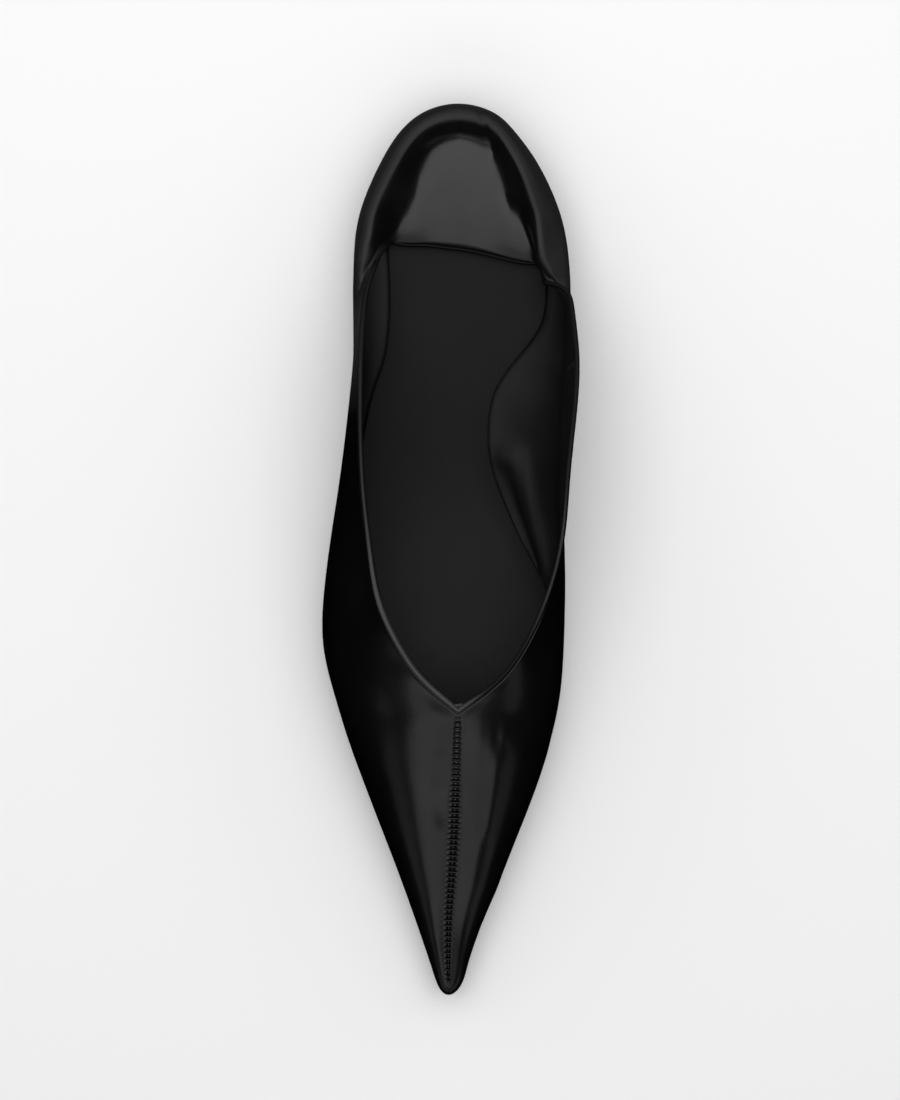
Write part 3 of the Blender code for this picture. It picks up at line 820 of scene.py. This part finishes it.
def sole_leather(look):
    """Dyed sole leather, buffed smooth, with faint rolling marks."""
    paint = Paint("dyed_sole", Specular_IOR_Level=0.4)
    cloud = paint.noise(45.0, 5.0, 0.6)
    return paint.finished(
        paint.mottled(cloud, look.sole, 0.8, 1.3), cloud, 0.38, 0.55,
        (cloud, 0.0002, 0.2), (paint.noise(900.0, 2.0), 0.00004, 0.3))


def heel_rubber(look):
    """Dense satin rubber with a fine stipple."""
    paint = Paint("stippled_rubber", Specular_IOR_Level=0.4)
    cloud = paint.noise(80.0)
    return paint.finished(
        paint.mottled(cloud, look.sole, 0.7, 1.1), cloud, 0.5, 0.62,
        (paint.noise(1600.0, 1.0), 0.00005, 0.4))


def waxed_thread(look):
    """Black thread with the bumps of its twist."""
    paint = Paint("waxed_thread", Roughness=0.5)
    twist = paint.noise(2500.0, 1.0)
    paint.feed("Base Color", paint.blend(twist, shade(look.thread, 0.8), shade(look.thread, 1.3)))
    paint.bump((twist, 0.00004, 0.5))
    return paint.material


def finish_of(maker, made={}):
    """The material that a maker function gives, made once."""
    if maker not in made:
        made[maker] = maker(bpy.context.scene.shoe_finish)
    return made[maker]


def length(name, default, description):
    return FloatProperty(name=name, description=description, default=default, unit="LENGTH")


def power(name, default, description):
    return FloatProperty(name=name, description=description, default=default, unit="POWER")


def colour(name, default, description):
    return FloatVectorProperty(
        name=name, description=description, default=default, subtype="COLOR", min=0.0, max=1.0)


class ShoeShape(bpy.types.PropertyGroup):
    leather: length("Leather", 0.0008, "Thickness of the outer leather")
    lining: length("Lining", WALL - 0.0008 - LAYER_GAP, "Thickness of the lining leather")
    seam_width: length("Seam width", 0.0007, "Half the width of the centre seam's groove")
    seam_depth: length("Seam depth", 0.0004, "Depth of the centre seam's groove")
    unevenness: length("Unevenness", 0.00012, "How far the leather waves in and out")


class ShoeFinish(bpy.types.PropertyGroup):
    leather: colour("Leather", (0.0016, 0.0016, 0.0018), "Colour of the glazed leather")
    lining: colour("Lining", (0.007, 0.007, 0.0072), "Colour of the lining")
    insole: colour("Insole", (0.0062, 0.0061, 0.0064), "Colour of the insole cover")
    sole: colour("Sole", (0.012, 0.011, 0.010), "Colour of the sole and heel")
    thread: colour("Thread", (0.004, 0.004, 0.004), "Colour of the stitching")
    gloss: FloatProperty(
        name="Roughness", description="Roughness of the glaze, lower is glossier",
        default=0.3, min=0.0, max=1.0)
    thread_size: length("Thread", 0.0005, "Thickness of the stitching thread")
    stitch_pitch: length("Stitch pitch", 0.0018, "Distance between the centre seam's stitches")


class StageSetting(bpy.types.PropertyGroup):
    softbox_power: power("Softbox", 5.0, "Power of the overhead softbox")
    front_power: power("Front strip", 0.85, "Power of the strip light before the toe")
    side_power: power("Side softboxes", 0.3, "Power of each of the low softboxes beside the toe")
    rear_power: power("Rear softboxes", 2.0, "Power of each of the softboxes behind the heel")
    card: FloatProperty(
        name="Card", description="Brightness of the reflector card under the heel's sides",
        default=0.07)
    fill: FloatProperty(
        name="Fill", description="Strength of the surrounding light", default=0.45)
    floor: colour("Floor", (0.86, 0.86, 0.86), "Colour of the floor")
    shoe_height: FloatProperty(
        name="Shoe in frame", description="Share of the picture's height that the shoe takes",
        default=0.815, min=0.1, max=1.0, subtype="FACTOR")


def seam_line(grid):
    """The centre seam from the throat to the toe: distances from the throat, and points."""
    points = grid[THROAT_RIB:TOE_RIB + 1, -1]
    steps = np.linalg.norm(np.diff(points, axis=0), axis=1)
    return np.concatenate([[0], np.cumsum(steps)]), points


def surface_values(grid):
    """Values of the leather: place along and beside the centre seam, its reach, the worn rim."""
    runs, points = seam_line(grid)
    run = np.interp(-grid[..., 1], -points[:, 1], runs)
    side = np.abs(grid[..., 0] - np.interp(-grid[..., 1], -points[:, 1], points[:, 0]))
    past = np.clip((ROW - RIDGE_ROW - 1) / 6, 0, 1) * np.clip((FOLD_TURN - TURN) / 6, 0, 1)
    flap = np.clip((ROW - FOOT_ROW) / 9, 0, 1) * 0.5
    return {
        "seam_run": run,
        "seam_side": np.where(TURN >= THROAT_TURN, side, 1.0),
        "seam_reach": np.interp(run / runs[-1], SEAM_SHARES, SEAM_REACHES),
        "worn": np.clip((OPEN_TURN + 4 - TURN) / 10, 0, 1) * (1 - past + flap),
    }


class SHOE_OT_upper(bpy.types.Operator):
    """Makes the outer leather: vamp, quarters and folded back in one skin"""
    bl_idname = "shoe.upper"
    bl_label = "Upper leather"

    def execute(self, context):
        grid = leather_grid()[0]
        mesh = grid_mesh("upper_leather", grid, surface_values(grid))
        piece = add_piece(
            "upper_leather", mesh, finish_of(glazed_leather), "upper")
        thicken(piece, context.scene.shoe_shape.leather)
        return {"FINISHED"}


class SHOE_OT_lining(bpy.types.Operator):
    """Makes the lining inside the leather, with the fold beside the arch"""
    bl_idname = "shoe.lining"
    bl_label = "Lining"

    def execute(self, context):
        shape = context.scene.shoe_shape
        grid, left = leather_grid()
        trough = IS_MEDIAL * crease_depth(grid, LINING_CREASES)
        swell = -trough - IS_MEDIAL * crease_depth(grid, LINING_SWELL)
        lifted = np.maximum(swell, 0.0) * (TURN > OPEN_TURN) * (TURN < THROAT_TURN)
        lifted = lifted * np.minimum(1, left / SWELL_FADE)
        behind = shape.leather + LAYER_GAP + lifted
        inner = grid - grid_normals(grid) * behind[..., None]
        # Painted shade for the lining's colour: the trough of the fold on the inner side, and the
        # outer side past the ear, where shade falls
        shaded = 0.7 * np.clip((TURN - EAR_END) / 20, 0, 1)
        deep = np.where(IS_MEDIAL, trough / LINING_CREASES[0].depth, shaded)
        mesh = grid_mesh("lining", inner, {"deep": deep})
        piece = add_piece("lining", mesh, finish_of(soft_lining))
        thicken(piece, shape.lining)
        return {"FINISHED"}


def top_frames():
    """Points of the top edge with directions: out of the wall, past its edge, across and down."""
    places = PLACES[THROAT_RIB::-1] + [(MEDIAL, turn) for side, turn in PLACES[1:THROAT_RIB]]
    lines = [rib(*at) for at in places]
    frames = []
    for i, line in enumerate(lines):
        ahead = lines[(i + 1) % len(lines)][-1]
        behind = lines[i - 1][-1]
        run = (ahead - behind).normalized()
        half_turn = (ahead - line[-1]).angle(line[-1] - behind) / 2
        up = line[-1] - line[-2] if i else behind.lerp(ahead, 0.5) - line[-1]
        face = up.cross(run).normalized()
        out = run.cross(face).normalized() / math.cos(half_turn)
        across = run.cross(UP).normalized() / math.cos(half_turn)
        frames.append((places[i], line[-1], face, out, across, run.cross(across).normalized()))
    return frames


def oval(centre, across, upward, count, start=0.0):
    """A closed loop of points round a centre, from its two half-axes."""
    angles = [2 * math.pi * (k + start) / count for k in range(count)]
    return [centre + across * math.cos(angle) + upward * math.sin(angle) for angle in angles]


class SHOE_OT_binding(bpy.types.Operator):
    """Makes the rolled edge that runs once round the opening and across the flap"""
    bl_idname = "shoe.binding"
    bl_label = "Topline binding"

    def execute(self, context):
        sides = 20
        loops = []
        polished = []
        for (side, turn), point, face, out, across, down in top_frames():
            turns, *columns = zip(*ROLLED_EDGE[side])
            width, height, polish = (float(np.interp(turn, turns, values)) for values in columns)
            centre = point + out * (0.0004 + 0.4 * width) - face * WALL / 2
            loops.append(oval(centre, across * width, down * height, sides, 0.5))
            polished += [polish] * sides
        mesh = loop_mesh("binding", loops + loops[:1])
        store(mesh, "polish", polished + polished[:sides])
        add_piece(
            "topline_edge", mesh, finish_of(rolled_edge), "topline_binding")
        return {"FINISHED"}


def lining_reach(side, turn, rise):
    """How far out of the rest line the inner face of the wall stands at a height above it."""
    line = rib(side, turn)[MARGIN_STEPS:MARGIN_STEPS + BULGE_STEPS + WALL_STEPS[0]]
    start = line[0]
    out, up = 0.0, WALL
    for near, far in zip(line, line[1:]):
        run = math.hypot(far.x - near.x, far.y - near.y)
        climb = far.z - near.z
        slope = math.hypot(run, climb)
        middle = near.lerp(far, 0.5) - start
        next_out = math.hypot(middle.x, middle.y) - WALL * climb / slope
        next_up = middle.z + WALL * run / slope
        if next_up > rise:
            return out + (next_out - out) * max(0.0, rise - up) / (next_up - up)
        out, up = next_out, next_up
    return out


def insole_ring(rise, inset, drop):
    """A ring of the insole, by the height it is cut at, its inset and its drop below the top."""
    points = []
    for side, turn in PLACES:
        rest = sole_point(side, turn, FEATHER_INSET, FEATHER)
        out = (rest - spine(rest)).normalized()
        reach = min(lining_reach(side, turn, rise), INSOLE_REACH) + 0.0001
        point = pulled_in(rest + out * reach, inset, limit=0.9)
        points.append(at_height(point, level(along_of(point), INSOLE_TOP) - drop))
    return points


def sole_ring(inset, above):
    """A ring of the outsole, by its distance in from the edge and its height."""
    return [sole_point(side, turn, inset, above) for side, turn in PLACES]


class SHOE_OT_insole(bpy.types.Operator):
    """Makes the covered insole with its softly rounded edge"""
    bl_idname = "shoe.insole"
    bl_label = "Insole"

    def execute(self, context):
        top = WALL + GAP + INSOLE
        cuts = [
            (WALL + GAP, 0.0004, INSOLE), (WALL + GAP, 0.0, INSOLE - 0.0003),
            (top - 0.0006, 0.0, 0.0006), (top - 0.0002, 0.0, 0.0002), (top, 0.0002, 0.00004),
            (top, 0.0006, 0.0), (top, 0.0018, 0.0), (top, 0.004, 0.0), (top, 0.008, 0.0),
            (top, 0.013, 0.0),
        ]
        loops = [insole_ring(*cut) for cut in cuts]
        mesh = loop_mesh("insole", loops, capped=(0, -1))
        insets = [0.0, 0.0] + [inset for rise, inset, drop in cuts[2:]]
        store(mesh, "from_edge", np.repeat(insets, len(loops[0])))
        store(mesh, "forward", [
            ease((along_of(vert.co) - PAINTED_LIGHT_FROM) / PAINTED_LIGHT_OVER) for vert in mesh.vertices])
        add_piece("insole_cover", mesh, finish_of(insole_leather), "insole")
        return {"FINISHED"}


class SHOE_OT_sole(bpy.types.Operator):
    """Makes the outsole with its stitch channel, and the low heel with its top piece"""
    bl_idname = "shoe.sole"
    bl_label = "Sole and heel"

    def execute(self, context):
        self.outsole()
        self.heel()
        return {"FINISHED"}

    def outsole(self):
        cuts = [
            (0.008, 0.0), (0.0045, 0.0), (0.0043, 0.00022), (0.0038, 0.00022), (0.0036, 0.0),
            (0.0007, 0.0), (0.0002, 0.0002), (0.0, 0.0006), (-0.0001, OUTSOLE - 0.0014),
            (0.0, OUTSOLE - 0.0004), (0.0007, OUTSOLE),
        ]
        mesh = loop_mesh("outsole", [sole_ring(*cut) for cut in cuts], capped=(0, -1))
        mesh.set_sharp_from_angle(angle=SHARP)
        add_piece("outsole_leather", mesh, finish_of(sole_leather), "outsole")

    def heel(self):
        span = (HEEL_BREAST - sole_edge.start) / (sole_edge.end - sole_edge.start)
        breast = math.degrees(math.acos(1 - 2 * span))
        steps = 48
        turns = [breast * i / steps for i in range(steps + 1)]
        places = [(MEDIAL, turn) for turn in turns[::-1]] + [(LATERAL, turn) for turn in turns[1:]]
        points = []
        for height, inset in HEEL_LEVELS:
            loop = [pulled_in(sole_edge.point(*at), HEEL_INSET + inset) for at in places]
            for end in (0, -1):
                loop[end].y += inset
            points += [at_height(point, height) for point in loop]
        count, rings = len(places), len(HEEL_LEVELS)
        ends = [tuple(range(count))[::-1], tuple(range((rings - 1) * count, rings * count))]
        mesh = mesh_of("heel", points, bridge(count, rings) + ends)
        mesh.set_sharp_from_angle(angle=SHARP)
        add_piece("heel_block", mesh, finish_of(heel_rubber), "heel")


class SHOE_OT_stitches(bpy.types.Operator):
    """Makes the overcast stitches of the centre seam and the tack behind the throat"""
    bl_idname = "shoe.stitches"
    bl_label = "Stitches"

    def execute(self, context):
        look = context.scene.shoe_finish
        skin = bpy.data.objects["upper_leather"].data
        skin = BVHTree.FromPolygons(
            [vert.co for vert in skin.vertices], [face.vertices for face in skin.polygons])
        runs, points = seam_line(leather_grid()[0])
        paths = []
        for k in range(int((runs[-1] - 0.002) / look.stitch_pitch)):
            run = SEAM_START + k * look.stitch_pitch
            reach = float(np.interp(run / runs[-1], SEAM_SHARES, SEAM_REACHES))
            ends = [Vector([np.interp(at, runs, points[:, axis]) for axis in range(3)])
                    for at in (run - 0.001, run, run + 0.001)]
            across = (ends[2] - ends[0]).cross(UP).normalized()
            path = []
            for share, lift in STITCH_POINTS:
                above = ends[1] + across * share * reach + UP * 0.01
                point = skin.ray_cast(above, -UP)[0]
                path.append(point + UP * look.thread_size * lift)
            path[3].z = max(path[3].z, (path[2].z + path[4].z) / 2)
            paths.append(path)
        mesh = tube_mesh("stitches", paths, look.thread_size / 2)
        add_piece("seam_stitches", mesh, finish_of(waxed_thread))
        self.tack()
        return {"FINISHED"}

    def tack(self):
        """A bar of leather sewn across the inside of the throat."""
        throat = top_point(MEDIAL, THROAT_TURN)
        half, deep, thick = 0.0031, 0.0008, 0.0007
        centre = throat + Vector((-0.0007, 0.0030, -0.0004))
        loops = []
        for across in np.linspace(-1, 1, 13):
            narrow = math.sqrt(max(0.0, 1 - across ** 8)) * 0.9 + 0.1
            middle = centre + Vector((across * half, 0.0006 * across ** 2, -0.0002 * across ** 2))
            loops.append(oval(
                middle, Vector((0, deep * narrow, 0)), UP * thick * narrow, 12))
        mesh = loop_mesh("tack", loops, capped=(0, -1))
        store(mesh, "polish", [0.7] * len(mesh.vertices))
        add_piece("throat_tack", mesh, finish_of(rolled_edge))


def tube_mesh(name, paths, radius, sides=6):
    """Round threads along paths of points, closed at both ends."""
    points, faces = [], []
    for path in paths:
        base = len(points)
        for i, point in enumerate(path):
            run = (path[min(i + 1, len(path) - 1)] - path[max(i - 1, 0)]).normalized()
            side = run.cross(UP).normalized()
            size = radius * (0.45 if i in (0, len(path) - 1) else 1.0)
            points += oval(point, side * size, run.cross(side) * size, sides)
        faces += bridge(sides, len(path), base)
        faces.append(tuple(range(base, base + sides))[::-1])
        faces.append(tuple(range(len(points) - sides, len(points))))
    return mesh_of(name, points, faces)


def stage_plane(name, paint, near, far, wide, height):
    """A level rectangle of the stage, which isn't part of the shoe."""
    corners = [(x, y, height) for x, y in ((-wide, near), (wide, near), (wide, far), (-wide, far))]
    plane = bpy.data.objects.new(name, mesh_of(name, corners, [(0, 1, 2, 3)]))
    plane.data.materials.append(paint.material)
    bpy.context.scene.collection.objects.link(plane)
    plane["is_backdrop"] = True
    return plane


class SHOE_OT_stage(bpy.types.Operator):
    """Makes the pale floor, the lights, the reflector card, the fill and the camera"""
    bl_idname = "shoe.stage"
    bl_label = "Stage"

    def execute(self, context):
        self.planes(context.scene.shoe_stage)
        self.lights(context.scene, context.scene.shoe_stage)
        self.camera(context.scene, context.scene.shoe_stage)
        context.scene.view_settings.view_transform = "Standard"
        return {"FINISHED"}

    def planes(self, setting):
        paint = Paint("floor", Roughness=0.9, Base_Color=(*setting.floor, 1.0))
        half = 6.0
        floor = stage_plane("floor", paint, -half, half, half, 0.0)
        floor.visible_glossy = False

        near = 0.045
        paint = Paint(
            "card", Roughness=1.0, Emission_Strength=setting.card, Base_Color=(0, 0, 0, 1))
        place_y = paint.node("SeparateXYZ", None, {0: paint.position()})[1]
        paint.feed("Emission Color", paint.blend(
            paint.spread(place_y, near, near + 0.06), (0, 0, 0, 1), (1, 1, 1, 1)))
        card = stage_plane("card", paint, near, 0.5, 0.3, 0.0004)
        card.visible_camera = False
        card.visible_diffuse = False
        card.visible_shadow = False

    def lights(self, scene, setting):
        for name, power, size, location in (
            ("softbox", setting.softbox_power, (1.08, 1.12), (0.0, 0.26, 0.75)),
            ("front_strip", setting.front_power, (1.1, 0.34), (-0.12, -0.82, 0.80)),
            ("side_left", setting.side_power, (1.0, 0.4), (-0.55, -0.95, 0.30)),
            ("side_right", setting.side_power, (1.0, 0.4), (0.55, -0.95, 0.30)),
            ("rear_softbox", setting.rear_power, (1.2, 0.8), (0.0, 1.2, 0.42)),
            ("rear_left", setting.rear_power, (1.1, 0.8), (-1.0, 0.72, 0.42)),
            ("rear_right", setting.rear_power, (1.1, 0.8), (1.0, 0.72, 0.42)),
        ):
            light = bpy.data.lights.new(name, "AREA")
            light.shape = "RECTANGLE"
            light.size, light.size_y = size
            light.energy = power
            box = bpy.data.objects.new(name, light)
            box.location = location
            aim = Vector((0, 0, 0.02)) - Vector(location)
            if name != "softbox":  # which faces straight down
                box.rotation_euler = aim.to_track_quat("-Z", "Y").to_euler()
            box.visible_camera = False
            scene.collection.objects.link(box)

        world = bpy.data.worlds.new("studio")
        scene.world = world
        world.use_nodes = True
        background = world.node_tree.nodes["Background"]
        background.inputs["Color"].default_value = (1, 1, 1, 1)
        background.inputs["Strength"].default_value = setting.fill
        world.cycles_visibility.glossy = False

    def camera(self, scene, setting):
        """Looks straight down from far off, as the photo does."""
        lens = bpy.data.cameras.new("camera")
        lens.lens = 200.0
        lens.sensor_width = 36.0
        low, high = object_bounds()
        centre = (low + high) / 2
        distance = (high.y - low.y) / setting.shoe_height * lens.lens / lens.sensor_width
        camera = bpy.data.objects.new("camera", lens)
        camera.location = (centre.x, centre.y, distance + high.z / 2)
        scene.collection.objects.link(camera)
        scene.camera = camera


class SHOE_PT_panel(bpy.types.Panel):
    bl_idname = "SHOE_PT_panel"
    bl_label = "Pointed flat"
    bl_space_type = "VIEW_3D"
    bl_region_type = "UI"
    bl_category = "Shoe"

    def draw(self, context):
        for name, group in GROUPS.items():
            box = self.layout.box()
            for label in group.__annotations__:
                box.prop(getattr(context.scene, name), label)
        for operator in OPERATORS:
            self.layout.operator(operator.bl_idname)


OPERATORS = (SHOE_OT_upper, SHOE_OT_lining, SHOE_OT_binding, SHOE_OT_stitches, SHOE_OT_insole,
             SHOE_OT_sole, SHOE_OT_stage)
CLASSES = (ShoeShape, ShoeFinish, StageSetting, *OPERATORS, SHOE_PT_panel)
GROUPS = {"shoe_shape": ShoeShape, "shoe_finish": ShoeFinish, "shoe_stage": StageSetting}


def register():
    for made in CLASSES:
        bpy.utils.register_class(made)
    for name, group in GROUPS.items():
        setattr(bpy.types.Scene, name, PointerProperty(type=group))


def unregister():
    for name in GROUPS:
        delattr(bpy.types.Scene, name)
    for made in reversed(CLASSES):
        bpy.utils.unregister_class(made)


def main():
    register()
    bpy.ops.shoe.upper()
    bpy.ops.shoe.lining()
    bpy.ops.shoe.binding()
    bpy.ops.shoe.stitches()
    bpy.ops.shoe.insole()
    bpy.ops.shoe.sole()
    bpy.ops.shoe.stage()


if __name__ == "__main__":
    main()
